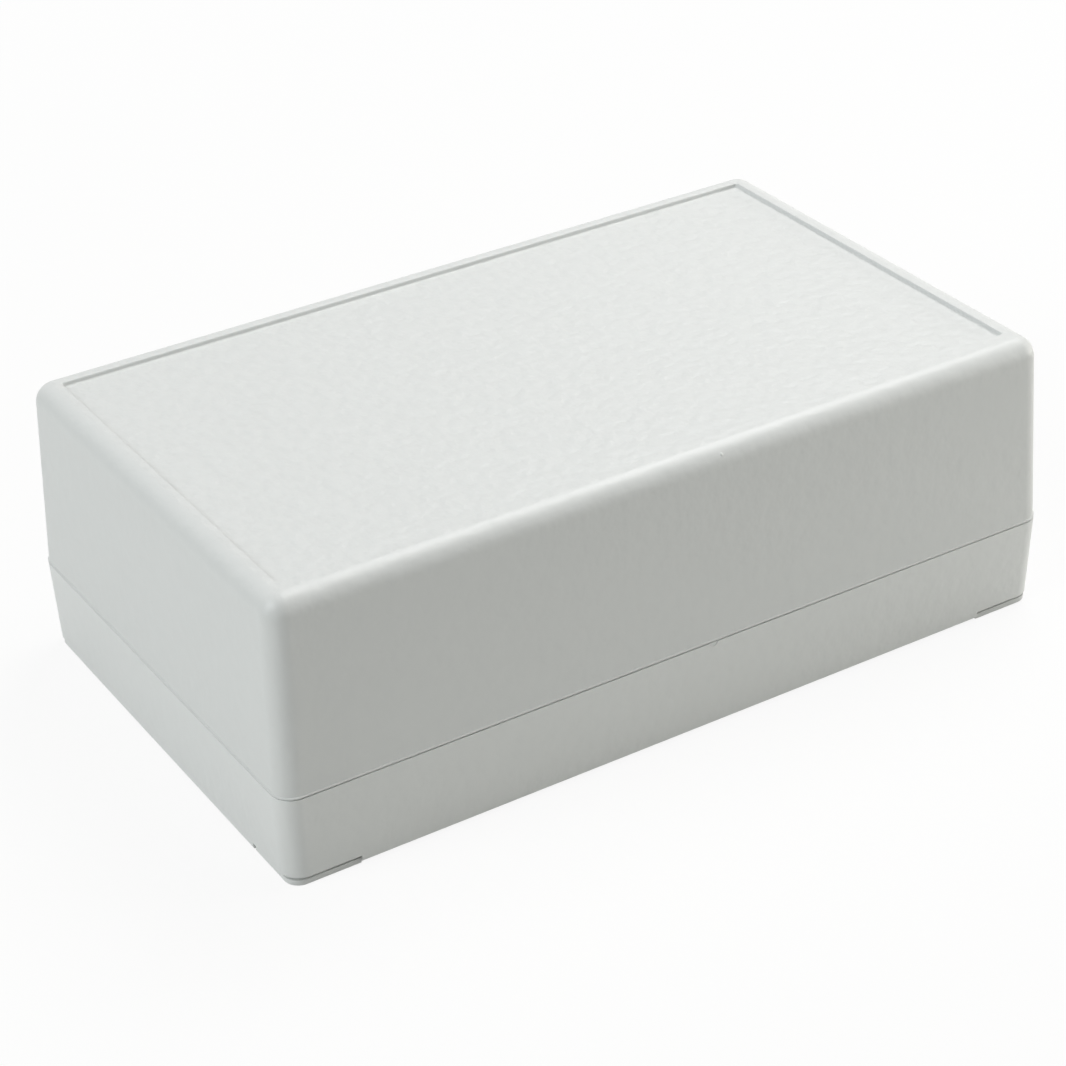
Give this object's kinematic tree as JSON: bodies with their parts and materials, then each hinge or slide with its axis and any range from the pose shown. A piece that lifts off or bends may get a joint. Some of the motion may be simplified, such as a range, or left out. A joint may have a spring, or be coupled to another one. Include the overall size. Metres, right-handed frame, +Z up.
{
  "type": "plastic project box",
  "caption": "Rectangular moulded plastic enclosure: tall rounded cover with a recessed top panel, screwed from below to a shallow base with corner feet.",
  "frame": {"origin": "centre of the plane that the feet stand on", "axes": "+X along the box's length, +Y across it, +Z up, from the base to the cover"},
  "size_m": [0.15, 0.0894, 0.0515],
  "materials": {
    "abs": "satin moulded ABS, fine grain in the top recess",
    "screw_steel": "bright zinc plate"
  },
  "bodies": {
    "base": {"base": "abs", "case_screws": "screw_steel"},
    "cover": {"cover": "abs"}
  },
  "joints": [
    {"name": "cover_lift", "type": "slide", "parent": "base", "child": "cover", "axis": [0, 0, 1], "range_m": [0, 0.06]}
  ]
}
